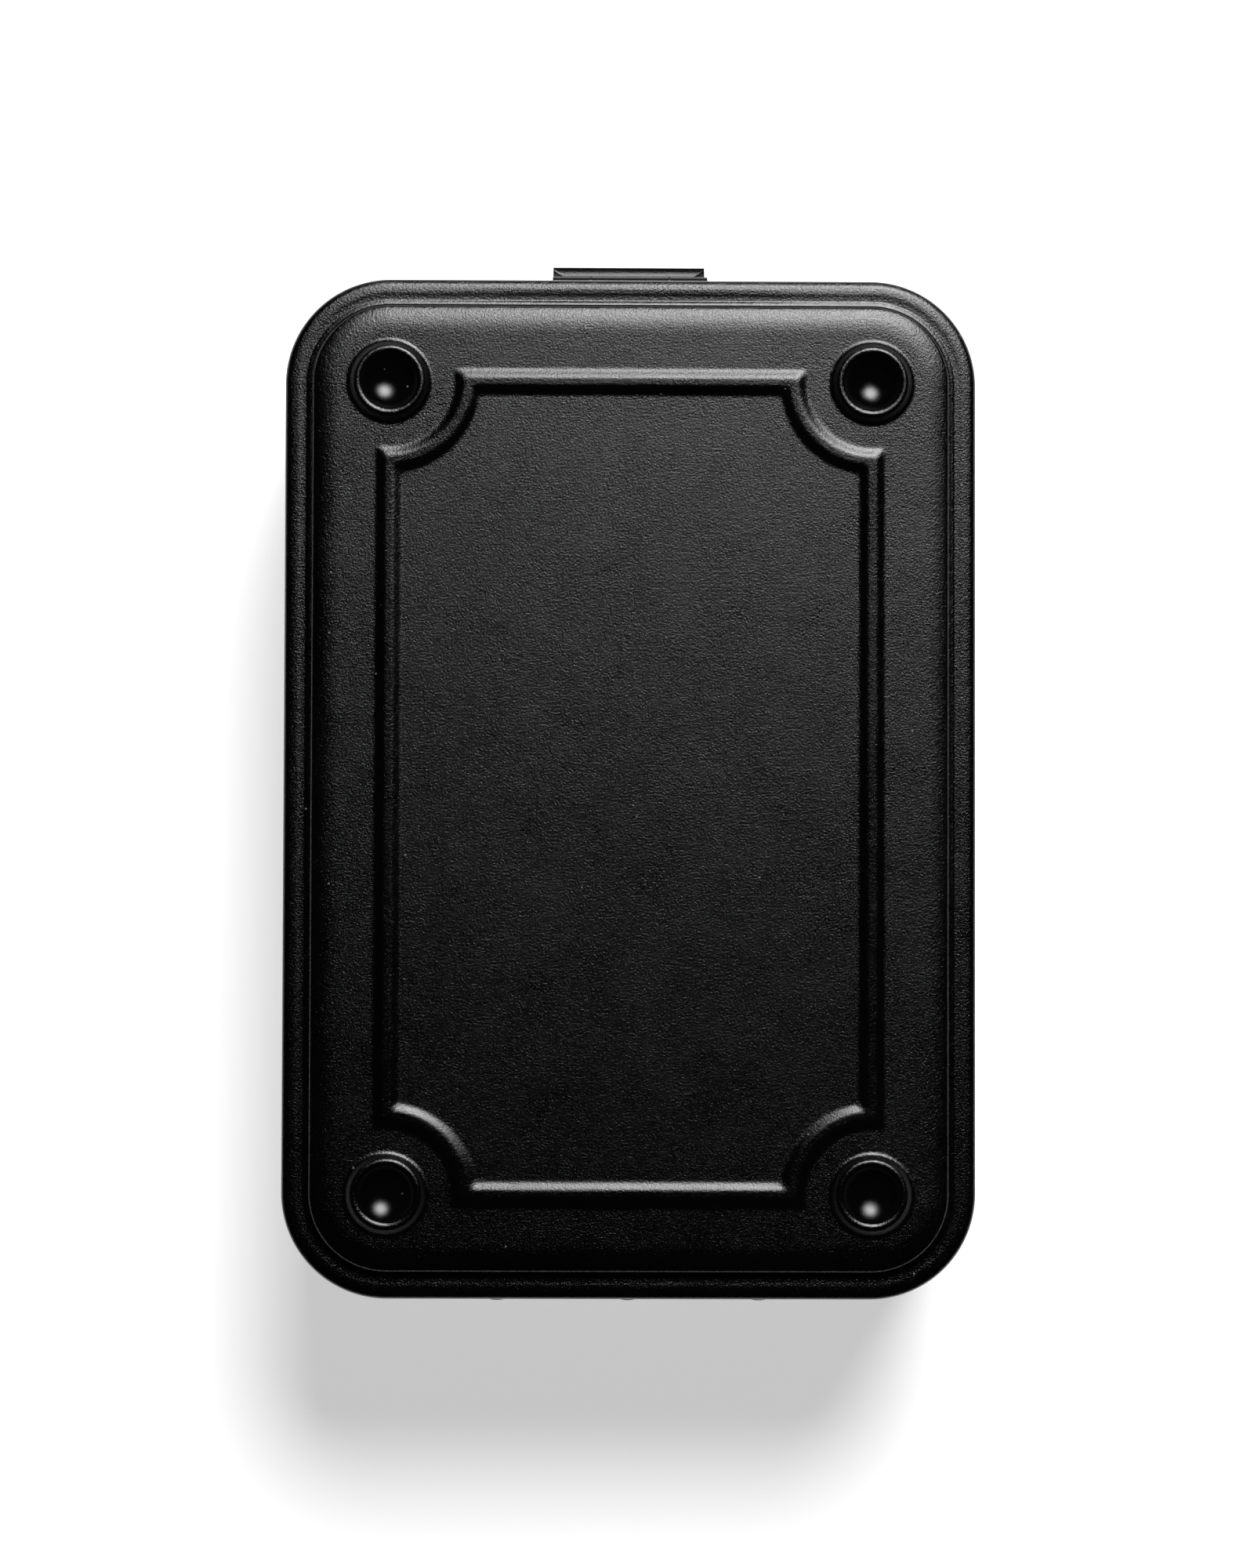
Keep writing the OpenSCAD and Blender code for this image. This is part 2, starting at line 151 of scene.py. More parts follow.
class Region:
    """Mesh of the flat middle of a pressed pan.

    It is a grid that thickens near the beads, with a ring grid round each corner's dish or foot.
    """

    def __init__(self, fine, coarse, radii, bead_x, bead_y):
        self.fine, self.coarse = fine, coarse
        self.x1, self.y1 = HX + U_IN, HY + U_IN
        self.rc = CORNER + U_IN
        self.cx, self.cy = self.x1 - self.rc, self.y1 - self.rc
        self.steps = max(6, round(self.rc / fine))
        self.nc = round(1.45 * self.steps)
        hx, hy = self.half(self.x1, bead_x), self.half(self.y1, bead_y)
        self.xs = np.concatenate([-hx[:0:-1], hx])
        self.ys = np.concatenate([-hy[:0:-1], hy])
        self.ids, self.pts, self.faces = {}, [], []
        self.bx, self.by = self.x1 - 2 * self.rc, self.y1 - 2 * self.rc
        self.fill_grid()
        self.fill_corners(hx, hy, radii)
        self.walk_boundary()
        self.xy = np.array(self.pts)

    def half(self, limit, start):
        """Grid lines on one side of the middle: coarse up to start, fine beyond it."""
        a = limit - 2 * self.rc
        start = min(start, a - self.fine)
        parts = [np.linspace(0, start, max(2, round(start / self.coarse)) + 1),
                 np.linspace(start, a, max(2, round((a - start) / self.fine)) + 1)[1:],
                 np.linspace(a, a + self.rc, self.steps + 1)[1:],
                 np.linspace(a + self.rc, limit, self.steps + 1)[1:]]
        return np.concatenate(parts)

    def fill_grid(self):
        """The grid's quads, but for the corner squares."""
        for i in range(len(self.xs) - 1):
            for j in range(len(self.ys) - 1):
                xa, xb = self.xs[i], self.xs[i + 1]
                ya, yb = self.ys[j], self.ys[j + 1]
                if abs(xa + xb) / 2 > self.bx - TINY and abs(ya + yb) / 2 > self.by - TINY:
                    continue
                corners = ((xa, ya), (xb, ya), (xb, yb), (xa, yb))
                self.faces.append([self.vid(x, y) for x, y in corners])

    def corner_loop(self, hx, hy):
        """The outline of one corner square, with its round outer corner."""
        gx = [x for x in hx if x > self.bx - TINY]
        gy = [y for y in hy if y > self.by - TINY]
        loop = [(self.x1, y) for y in gy if y <= self.cy + TINY]
        loop += arc(self.cx, self.cy, self.rc, 0, 90, self.nc)[1:-1]
        loop += [(x, self.y1) for x in reversed(gx) if x <= self.cx + TINY]
        loop += [(self.bx, y) for y in reversed(gy[:-1])]
        loop += [(x, self.by) for x in gx[1:-1]]
        loop += [(self.x1, self.by)] if abs(loop[0][1] - self.by) > TINY else []
        return loop

    def fill_corners(self, hx, hy, radii):
        """Rings from each corner square's outline in to the dish's middle."""
        loop = self.corner_loop(hx, hy)
        ang = [math.atan2(y - DY, x - DX) for x, y in loop]
        outer = radii[-1]
        blend = 12 if self.fine < 0.4 else 5
        for sx in (1, -1):
            for sy in (1, -1):
                rings = [[self.vid(sx * x, sy * y) for x, y in loop]]
                for k in range(1, blend):
                    w = k / blend
                    rings.append([self.add(sx * ((1 - w) * x + w * (DX + outer * math.cos(a))),
                                           sy * ((1 - w) * y + w * (DY + outer * math.sin(a))))
                                  for (x, y), a in zip(loop, ang)])
                for r in reversed(radii[1:]):
                    rings.append([self.add(sx * (DX + r * math.cos(a)), sy * (DY + r * math.sin(a)))
                                  for a in ang])
                mid = self.add(sx * DX, sy * DY)
                self.join_rings(rings, mid, sx * sy < 0)

    def join_rings(self, rings, mid, flip):
        quads = []
        for a, b in zip(rings, rings[1:]):
            quads += [[a[k], a[(k + 1) % len(a)], b[(k + 1) % len(a)], b[k]] for k in range(len(a))]
        last = rings[-1]
        quads += [[last[k], last[(k + 1) % len(last)], mid] for k in range(len(last))]
        self.faces += [q[::-1] if flip else q for q in quads]

    def walk_boundary(self):
        """The boundary, counter-clockwise, with its outward normals."""
        self.ring, normal = [], []
        ys = [y for y in self.ys if abs(y) <= self.cy + TINY]
        xs = [x for x in self.xs if abs(x) <= self.cx + TINY]

        def walk(points, directions):
            self.ring.extend(self.vid(x, y) for x, y in points)
            normal.extend(directions)

        def corner(cx, cy, start):
            turns = [math.radians(start + 90 * k / self.nc) for k in range(1, self.nc)]
            out = [(math.cos(a), math.sin(a)) for a in turns]
            walk([(cx + self.rc * c, cy + self.rc * d) for c, d in out], out)

        walk([(self.x1, y) for y in ys], [(1, 0)] * len(ys))
        corner(self.cx, self.cy, 0)
        walk([(x, self.y1) for x in reversed(xs)], [(0, 1)] * len(xs))
        corner(-self.cx, self.cy, 90)
        walk([(-self.x1, y) for y in reversed(ys)], [(-1, 0)] * len(ys))
        corner(-self.cx, -self.cy, 180)
        walk([(x, -self.y1) for x in xs], [(0, -1)] * len(xs))
        corner(self.cx, -self.cy, 270)
        self.normal = np.array(normal)

    def vid(self, x, y):
        key = (round(x * 2000), round(y * 2000))
        if key not in self.ids:
            self.ids[key] = self.add(x, y)
        return self.ids[key]

    def add(self, x, y):
        self.pts.append((x, y))
        return len(self.pts) - 1


def pan(name, region, profile, z_first, z_last, first_up, mat, body, node, shape=None, burnish=None):
    """A closed pressed pan.

    It has the first face's middle, the profile out, round the free edge and back, and the second
    face's middle.
    """
    n = len(region.pts)
    xy = region.xy
    a = np.column_stack([xy, z_first(xy)])
    b = np.column_stack([xy, z_last(xy)])
    verts = [a, b]
    base = xy[region.ring]
    rings = [list(region.ring)]
    k = len(region.ring)
    count = 2 * n
    for u, z in profile[1:-1]:
        p = base + (u - U_IN) * region.normal
        v = np.column_stack([p, np.full(k, z)])
        if shape is not None:
            v = shape(v, region.normal, u, z)
        verts.append(v)
        rings.append(list(range(count, count + k)))
        count += k
    rings.append([i + n for i in region.ring])
    faces = [f if first_up else f[::-1] for f in region.faces]
    faces += [[i + n for i in (f[::-1] if first_up else f)] for f in region.faces]
    for r, s in zip(rings, rings[1:]):
        for i in range(k):
            j = (i + 1) % k
            q = [r[i], s[i], s[j], r[j]]
            faces.append(q if first_up else q[::-1])
    verts = np.concatenate(verts)
    attr = burnish(verts) if burnish else None
    new_object(name, verts, faces, mat, body, (node,), attr=attr)


# ---------------------------------------------------------------- materials
class Nodes:
    """Short ways to add, set and link one material's nodes."""

    def __init__(self, name):
        self.material = bpy.data.materials.new(name)
        self.material.use_nodes = True
        self.tree = self.material.node_tree
        for node in list(self.tree.nodes):
            self.tree.nodes.remove(node)
        self.coords = self.add("ShaderNodeTexCoord").outputs["Object"]

    def add(self, kind, **inputs):
        node = self.tree.nodes.new(kind)
        for key, value in inputs.items():
            self.put(value, node.inputs[key.replace("_", " ")])
        return node

    def put(self, value, socket):
        if isinstance(value, (int, float)):
            socket.default_value = value
        else:
            self.tree.links.new(value, socket)

    def noise(self, scale, detail, roughness=0.5, distortion=0.0):
        return self.add("ShaderNodeTexNoise", Vector=self.coords, Scale=scale, Detail=detail,
                        Roughness=roughness, Distortion=distortion).outputs[0]

    def math(self, op, *values, clamp=False):
        node = self.add("ShaderNodeMath")
        node.operation = op
        node.use_clamp = clamp
        for value, socket in zip(values, node.inputs):
            self.put(value, socket)
        return node.outputs[0]

    def ramp(self, value, lo, hi, a, b):
        return self.add("ShaderNodeMapRange", Value=value, From_Min=lo, From_Max=hi,
                        To_Min=a, To_Max=b).outputs[0]

    def colour(self, *channels):
        node = self.add("ShaderNodeCombineColor")
        for value, socket in zip(channels, node.inputs):
            self.put(value, socket)
        return node.outputs[0]


def dust(n):
    """1 on a few specks of dust."""
    cells_per_m, speck, clean_share = 260, 0.04, 0.7
    cells = n.add("ShaderNodeTexVoronoi", Vector=n.coords, Scale=cells_per_m)
    pick = n.add("ShaderNodeSeparateColor", Color=cells.outputs["Color"])
    near = n.math("LESS_THAN", cells.outputs["Distance"], speck)
    return n.math("MULTIPLY", near, n.math("GREATER_THAN", pick.outputs[0], clean_share))


def surface_colour(n, colour, burn, fine, worn):
    """Faintly cloudy; worn paint is lighter where the sheet was stretched thin, and dusty."""
    lum = n.math("MULTIPLY_ADD", n.ramp(n.noise(45, 3, 0.6), 0.35, 0.65, -0.25, 0.3), colour[0], colour[0])
    if worn:
        thin_paint, dust_colour = 0.0004, 0.12
        stretched = n.math("MULTIPLY", burn, n.ramp(fine, 0.3, 0.7, 0.5, 1.2))
        lum = n.math("MULTIPLY_ADD", stretched, thin_paint, lum)
        lum = n.math("MULTIPLY_ADD", dust(n), dust_colour, lum)
    return n.colour(lum, *[n.math("MULTIPLY", lum, c / colour[0]) for c in colour[1:]])


def surface_roughness(n, rough, burn, fine, worn):
    """Satin, blotchy at two scales, a little glossier where burnished."""
    blotches = n.ramp(n.noise(120, 4, 0.6), 0.3, 0.7, rough - 0.02, rough + 0.02)
    r = n.math("ADD", blotches, n.ramp(fine, 0.3, 0.7, -0.02, 0.02))
    return n.math("MULTIPLY_ADD", burn, -0.02, r) if worn else r


def orange_peel(n, peel, size, burn):
    """The paint's skin, which pressed-smooth parts have little of."""
    skin = n.noise(1.0 / (size * MM), 3, 0.6, 0.3)
    soft = n.noise(0.4 / (size * MM), 2, 0.5)
    height = n.math("MULTIPLY_ADD", skin, peel, n.math("MULTIPLY", soft, peel * 0.3))
    strength = n.math("SUBTRACT", 1.0, burn, clamp=True)
    return n.add("ShaderNodeBump", Distance=0.1 * MM, Height=height, Strength=strength).outputs[0]


def enamel_shine(n, level, rough, burn, normal):
    """A gloss that falls off faster away from the light than the standard lobe."""
    fresnel = n.add("ShaderNodeFresnel", IOR=1.5, Normal=normal).outputs[0]
    shine = n.math("MULTIPLY", fresnel, n.math("MULTIPLY_ADD", burn, -0.35, level))
    gloss = n.add("ShaderNodeBsdfAnisotropic", Color=n.colour(shine, shine, shine),
                  Roughness=rough, Normal=normal)
    gloss.distribution = "BECKMANN"
    return gloss.outputs[0]


def material(name, colour, rough, peel=0.5, peel_size=0.22, metallic=0.0, worn=True, gloss_level=1.0):
    n = Nodes(name)
    attribute = n.add("ShaderNodeAttribute")
    attribute.attribute_name = "burnish"
    burn = attribute.outputs["Fac"]
    fine = n.noise(900, 4, 0.6)
    roughness = surface_roughness(n, rough, burn, fine, worn)
    normal = orange_peel(n, peel, peel_size, burn)
    base = n.add("ShaderNodeBsdfPrincipled", Base_Color=surface_colour(n, colour, burn, fine, worn),
                 Metallic=metallic, Roughness=roughness, IOR=1.5, Normal=normal)
    surface = base.outputs[0]
    if not metallic:
        base.inputs["Specular IOR Level"].default_value = 0.0
        both = n.add("ShaderNodeAddShader")
        n.put(surface, both.inputs[0])
        n.put(enamel_shine(n, gloss_level, roughness, burn, normal), both.inputs[1])
        surface = both.outputs[0]
    n.add("ShaderNodeOutputMaterial", Surface=surface)
    return n.material


PAINT = material("black_baked_paint", (0.0007, 0.0007, 0.00074), 0.3, peel=0.58, peel_size=0.3)
PAINT_IN = material("black_baked_paint_tray", (0.0007, 0.0007, 0.00074), 0.305)
HARD = material("black_hardware_paint", (0.001, 0.001, 0.00105), 0.3, peel=0.3, gloss_level=0.62)
WIRE = material("wire_steel", (0.32, 0.32, 0.33), 0.3, peel=0.1, peel_size=0.2, metallic=1.0, worn=False)

# ---------------------------------------------------------------- lid
BX, BY, BR = DX, DY, 11.9
U_CREVICE = -4.25
SHOULDER_L = 4.55
LIP_H = 0.14


def outline_u(x, y):
    """Distance outward from the box's outline, negative inside."""
    ex, ey = np.abs(x) - (HX - CORNER), np.abs(y) - (HY - CORNER)
    return np.hypot(np.maximum(ex, 0), np.maximum(ey, 0)) + np.minimum(np.maximum(ex, ey), 0) - CORNER


def shoulder(u):
    """Height against the plateau: a small round edge at the crevice, then a long easy crown."""
    v = np.clip(U_CREVICE - u, 0, None)
    w = np.minimum(v / SHOULDER_L, 1)
    return -0.62 * (1 - w) ** 2.6 - 0.22 * np.exp(-v / 0.14)


def frame_distance(x, y):
    """Distance from the bead's middle line, negative on the panel; its corners bend in round the dishes."""
    ax, ay = np.abs(x), np.abs(y)
    d = soft_max(ax - BX, ay - BY, 0.9)
    return soft_max(d, BR - np.hypot(ax - DX, ay - DY), 0.9)


def bead(d):
    a = np.abs(d)
    return BEAD_H * (1 - smooth(0.4, 2.15, a))


def stepped(knots, slopes, end):
    """Integrates a piecewise-linear slope into a height that is 0 at its end."""
    r = np.linspace(knots[0], end, 400)
    k = np.interp(r, knots, slopes)
    h = np.concatenate([[0], np.cumsum((k[1:] + k[:-1]) / 2 * np.diff(r))])
    return r, h - h[-1]


BALL_R, DISH_R = 6.3, 4.2
WALL_END = 6.7
WALL_R, WALL_H = stepped([DISH_R, 4.42, 4.87, 5.25, 5.42, 5.9, 6.2, WALL_END],
                         [0.8, 0.45, 0.0, -0.48, -0.86, -0.86, -0.4, 0], WALL_END)


def dish(r):
    """Height above the plateau: spherical bowl, round lip, steep outer wall with a soft foot."""
    edge = math.sqrt(BALL_R ** 2 - DISH_R ** 2)
    bowl = WALL_H[0] + edge - np.sqrt(np.maximum(BALL_R ** 2 - r ** 2, 0.01))
    return np.where(r < DISH_R, bowl, np.interp(r, WALL_R, WALL_H))


def lid_top(xy):
    x, y = xy[:, 0], xy[:, 1]
    r = np.hypot(np.abs(x) - DX, np.abs(y) - DY)
    z = bead(frame_distance(x, y))
    return BAND_Z + shoulder(outline_u(x, y)) + np.where(r < WALL_END, dish(r), z)


def lid_under(xy):
    return lid_top(xy) - T


def lid_profile():
    """From the plateau's edge down the shoulder, over the rim, down the skirt, and back up inside."""
    c = U_CREVICE
    lip = RIM_Z + LIP_H
    near = (0.28, 0.22, 0.17, 0.12, 0.08, 0.04, 0)
    p = [(u, BAND_Z + float(shoulder(u))) for u in np.linspace(U_IN, -5.3, 14)]
    p += [(u, BAND_Z + float(shoulder(u))) for u in np.linspace(-5.2, -4.6, 7)]
    p += [(c - v, BAND_Z + float(shoulder(c - v))) for v in near]
    # the crevice, the thin raised lip, the groove and the rim's roll
    p += [(c + 0.015, lip + 0.1), (c + 0.02, RIM_Z + 0.05), (c + 0.08, RIM_Z), (c + 0.22, RIM_Z)]
    p += [(c + 0.26, RIM_Z + 0.02), (c + 0.27, lip - 0.09)]
    p += arc(c + 0.36, lip - 0.09, 0.09, 170, 75, 5)
    p += rounded([(c + 0.45, lip - 0.02), (-3.55, RIM_Z + 0.085), (-3.24, RIM_Z - 0.03),
                  (-2.6, RIM_Z - 0.03), (-2.15, RIM_Z)], 0.3, 6)
    p += arc(-2.15, RIM_Z - 6.8, 6.8, 88.5, 80.5, 6)
    p += arc(-1.325, RIM_Z - 1.868, 1.8, 78, 62, 6)
    p += arc(-0.88, RIM_Z - 1.05, 0.88, 54, 0, 8)
    # the skirt and its lower edge
    p += [(0, z) for z in np.linspace(RIM_Z - 2.5, PART_Z + 1.6, 10)]
    p += [(0, PART_Z + 0.5)]
    p += arc(-0.15, PART_Z + 0.15, 0.15, 0, -90, 3)
    p += arc(-T + 0.15, PART_Z + 0.15, 0.15, -90, -180, 3)
    # the inside
    p += [(-T, z) for z in np.linspace(PART_Z + 1.6, RIM_Z - 1.6, 6)]
    p += arc(-1.3, RIM_Z - 1.3, 1.3 - T, 0, 90, 6)
    p += [(-2.4, RIM_Z - T - 0.1), (-3.6, RIM_Z - T - 0.1), (-4.25, RIM_Z - T)]
    p += [(-4.52, RIM_Z - T + 0.3), (-4.57, BAND_Z - T - 0.6)]
    p += [(u, BAND_Z - T + float(shoulder(u))) for u in np.linspace(-4.65, -7.2, 14)]
    p += [(U_IN, BAND_Z - T + float(shoulder(U_IN)))]
    return p


NOTCH = mm_box("lid_hinge_leaf")[1][0] + 0.4


def skirt_shape(v, normal, u, z):
    """Cuts the skirt's lower edge away round the hinge, and deepens the groove behind the latch."""
    if z < PART_Z + 2.2:
        w = (normal[:, 1] > 0.99) & (np.abs(v[:, 0]) < NOTCH)
        v[w, 2] = PART_Z + 2.0 + (z - PART_Z) * 0.1
    elif -3.7 < u < -1.5 and z > RIM_Z - 0.2:
        dip = 0.07 * smooth(1.2, 2.7, -u) * (1 - smooth(3.2, 3.75, -u))
        v[:, 2] -= dip * np.clip(-normal[:, 1], 0, 1) ** 4 * (1 - smooth(12, 32, np.abs(v[:, 0])))
    return v


def lid_burnish(v):
    """Where pressing left the paint smoother: 1 in the bowls, less on their rings, the beads and the lip."""
    x, y, z = v[:, 0], v[:, 1], v[:, 2]
    r = np.hypot(np.abs(x) - DX, np.abs(y) - DY)
    b = np.where(r < 4.5, 1 - 0.8 * smooth(4.1, 4.5, r), 0.2 * (1 - smooth(6.2, 6.9, r)))
    d = frame_distance(x, y)
    b = np.maximum(b, 0.25 * (1 - smooth(1.6, 2.3, np.abs(d))))
    from_lip = np.abs(outline_u(x, y) - U_CREVICE - 0.38)
    return np.maximum(b, 0.4 * (1 - smooth(0.12, 0.3, from_lip)) * (z > RIM_Z + 0.05))


fine, coarse = ((0.25, 2.0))
bowl_r = list(np.linspace(0, 4.1, 12)) + list(np.arange(4.2, 5.5, 0.06)) + list(np.arange(5.5, 6.75, 0.1))
lid_region = Region(fine, coarse, bowl_r, BX - 14.5, BY - 14.5)
pan("lid_shell", lid_region, lid_profile(), lid_top, lid_under, True,
    PAINT, "lid", "lid", skirt_shape, lid_burnish)

# ---------------------------------------------------------------- tray
EDGE_R = 9.0


def foot_drop(r):
    """How far the bottom is pressed down, r from a foot's middle."""
    return PAN_Z * (1 - smooth(2.1, 4.75, r))


def tray_bottom(xy, edge_r):
    """The pan's bottom with its feet, and the start of the rounded edge."""
    r = np.hypot(np.abs(xy[:, 0]) - DX, np.abs(xy[:, 1]) - DY)
    into = np.clip(outline_u(xy[:, 0], xy[:, 1]) + EDGE_R, 0, None)
    return PAN_Z - foot_drop(r) + edge_r - np.sqrt(edge_r ** 2 - into ** 2)


def tray_under(xy):
    return tray_bottom(xy, EDGE_R)


def tray_floor(xy):
    return tray_bottom(xy, EDGE_R - T) + T


def tray_profile():
    """Up the outside, over the neck's rolled edge, and back down the inside."""
    b = EDGE_R
    s = PART_Z
    p = [(U_IN, PAN_Z)] + arc(-b, PAN_Z + b, b, -81, 0, 22)
    p += [(0, z) for z in np.linspace(PAN_Z + b + 2, s - 2.4, 8)]
    p += rounded([(0, s - 1.7), (0, s - 1.25), (-0.25, s - 0.85), (-0.8, s - 0.6),
                  (-1.0, s - 0.3), (-1.0, s + 0.4)], 0.4, 4)
    p += [(-1.0, s + 2.0)]
    p += arc(-1.9, NECK_Z - 0.8, 0.9, 0, 180, 16)
    p += [(-2.8, NECK_Z - 1.45), (-2.7, NECK_Z - 1.55)]
    p += [(-2.5, NECK_Z - 1.55), (-2.4, NECK_Z - 1.45)]
    p += arc(-1.9, NECK_Z - 0.8, 0.5, 180, 0, 8)
    p += [(-1.4, s + 2.0)]
    p += rounded([(-1.4, s + 0.4), (-1.4, s - 0.35), (-1.3, s - 0.8), (-0.75, s - 1.1),
                  (-0.42, s - 1.4), (-0.4, s - 2.0)], 0.4, 4)
    p += [(-T, z) for z in np.linspace(s - 2.6, PAN_Z + b + 1, 6)]
    p += arc(-b, PAN_Z + b, b - T, 0, -81, 18)
    p += [(U_IN, PAN_Z + T)]
    return p


foot_r = list(np.linspace(0, 2.1, 4)) + list(np.linspace(2.3, 6.3, 24))
tray_region = Region(0.6, 4.0, foot_r, 20, 40)
pan("tray_shell", tray_region, tray_profile(), tray_under, tray_floor, False,
    PAINT_IN, "box", "tray")


# ---------------------------------------------------------------- bent sheet pieces
def sheet(path, x0, x1, thick, nx=12, end_r=(0, 0), push=None):
    """A bent sheet: path is its middle line in (outward, up), x across.

    end_r rounds the corners at the path's two ends, and push may move a row of points.
    """
    p = np.array(path, float)
    seg = np.linalg.norm(np.diff(p, axis=0), axis=1)
    s = np.concatenate([[0], np.cumsum(seg)])
    total = s[-1]
    extra = []
    for k, r in enumerate(end_r):
        if r:
            e = [r * (1 - math.cos(math.radians(a))) for a in (0, 15, 30, 45, 60, 75, 90)]
            extra += e if k == 0 else [total - v for v in e]
    ss = np.unique(np.round(np.concatenate([s, extra]), 4))
    q = np.column_stack([np.interp(ss, s, p[:, 0]), np.interp(ss, s, p[:, 1])])
    tan = np.gradient(q, axis=0)
    tan /= np.linalg.norm(tan, axis=1)[:, None]
    nor = np.column_stack([tan[:, 1], -tan[:, 0]])
    xs = np.linspace(-1, 1, nx + 1)
    mid, half = (x0 + x1) / 2, (x1 - x0) / 2
    grids = []
    for side in (0.5, -0.5):
        rows = []
        for k in range(len(ss)):
            shrink = 0.0
            for r, dist in ((end_r[0], ss[k]), (end_r[1], total - ss[k])):
                if r and dist < r:
                    shrink = max(shrink, r - math.sqrt(max(r * r - (r - dist) ** 2, 0)))
            x = mid + xs * (half - shrink)
            d = q[k, 0] + nor[k, 0] * thick * side
            z = q[k, 1] + nor[k, 1] * thick * side
            row = np.column_stack([x, np.full(nx + 1, d), np.full(nx + 1, z)])
            if push is not None:
                row = push(row, ss[k] / total)
            rows.append(row)
        grids.append(np.array(rows))
    m, w = len(ss), nx + 1
    verts = np.concatenate([grids[0].reshape(-1, 3), grids[1].reshape(-1, 3)])
    n = m * w
    faces = []
    for i in range(m - 1):
        for j in range(nx):
            a = i * w + j
            faces.append([a, a + 1, a + w + 1, a + w])
            faces.append([n + a, n + a + w, n + a + w + 1, n + a + 1])
    edge = list(range(w)) + [i * w + nx for i in range(1, m)]
    edge += [(m - 1) * w + j for j in range(nx - 1, -1, -1)] + [i * w for i in range(m - 2, 0, -1)]
    for a, b in zip(edge, edge[1:] + edge[:1]):
        faces.append([b, a, n + a, n + b])
    return verts, faces


def revolve(profile, n=32):
    """Revolves (radius, height) points round +Z; the first and last lie on the axis."""
    inner = profile[1:-1]
    verts = [(0, 0, profile[0][1])]
    for r, z in inner:
        verts += [(r * math.cos(2 * math.pi * k / n), r * math.sin(2 * math.pi * k / n), z) for k in range(n)]
    verts.append((0, 0, profile[-1][1]))
    faces = [[0, 1 + (k + 1) % n, 1 + k] for k in range(n)]
    for i in range(len(inner) - 1):
        a = 1 + i * n
        faces += [[a + k, a + (k + 1) % n, a + n + (k + 1) % n, a + n + k] for k in range(n)]
    a, last = 1 + (len(inner) - 1) * n, len(verts) - 1
    faces += [[a + k, a + (k + 1) % n, last] for k in range(n)]
    return np.array(verts, float), faces


def joined(parts):
    verts, faces, k = [], [], 0
    for v, f in parts:
        verts.append(v)
        faces += [[i + k for i in q] for q in f]
        k += len(v)
    return np.concatenate(verts), faces


def to_front(v):
    """From (across, outward, up) at the front wall to the shared frame."""
    return np.column_stack([-v[:, 0], -HY - v[:, 1], v[:, 2]])


def to_back(v):
    """The same at the back wall."""
    return np.column_stack([v[:, 0], HY + v[:, 1], v[:, 2]])


def hardware(name, place, pieces, body, node):
    """A painted piece of bent sheets, with its sheared edges eased."""
    verts, faces = joined(pieces)
    ob = new_object(name, place(verts), faces, HARD, body, (node,), angle=40)
    b = ob.modifiers.new("edges", "BEVEL")
    b.width = 0.06 * MM
    b.segments = 2
    b.limit_method = "ANGLE"
    b.angle_limit = math.radians(50)


def rivets(name, node, place, grip, body, count):
    """A row of round-headed rivets, with the small heads of their tails inside."""
    lo, hi = mm_box(node)
    z = (lo[2] + hi[2]) / 2
    xs = np.linspace(lo[0] + 1.45, hi[0] - 1.45, count)
    prof = [(0, 0.42), (0.35, 0.41), (0.75, 0.37), (1.1, 0.29), (1.32, 0.17), (1.44, 0.04), (1.43, 0.0)]
    prof += [(0.8, 0.0), (0.8, -grip), (1.22, -grip), (1.25, -grip - 0.15), (1.12, -grip - 0.32)]
    prof += [(0.4, -grip - 0.32), (0, -grip - 0.32)]
    v, f = revolve(prof[::-1])
    parts = []
    for x in xs:
        w = np.column_stack([v[:, 0] + x, v[:, 2] + grip - T, z - v[:, 1]])
        parts.append((place(w), f))
    vv, ff = joined(parts)
    new_object(name, vv, ff, HARD, body, (node,), angle=45)


def pin(name, node, body):
    """A wire along x with eased ends."""
    lo, hi = mm_box(node)
    r, h = (hi[2] - lo[2]) / 2, hi[0] - lo[0]
    c = (lo + hi) / 2
    end = [(r, 0.2), (r * 0.93, 0.06), (r * 0.7, 0), (0, 0)]
    v, f = revolve([(a, b - h / 2) for a, b in end[::-1]] + [(a, h / 2 - b) for a, b in end], 28)
    w = np.column_stack([v[:, 2] + c[0], v[:, 0] + c[1], v[:, 1] + c[2]])
    new_object(name, w, f, WIRE, body, (node,), angle=45)


# ---------------------------------------------------------------- hinge, latch and catch
KNUCKLE_GAP = 0.2


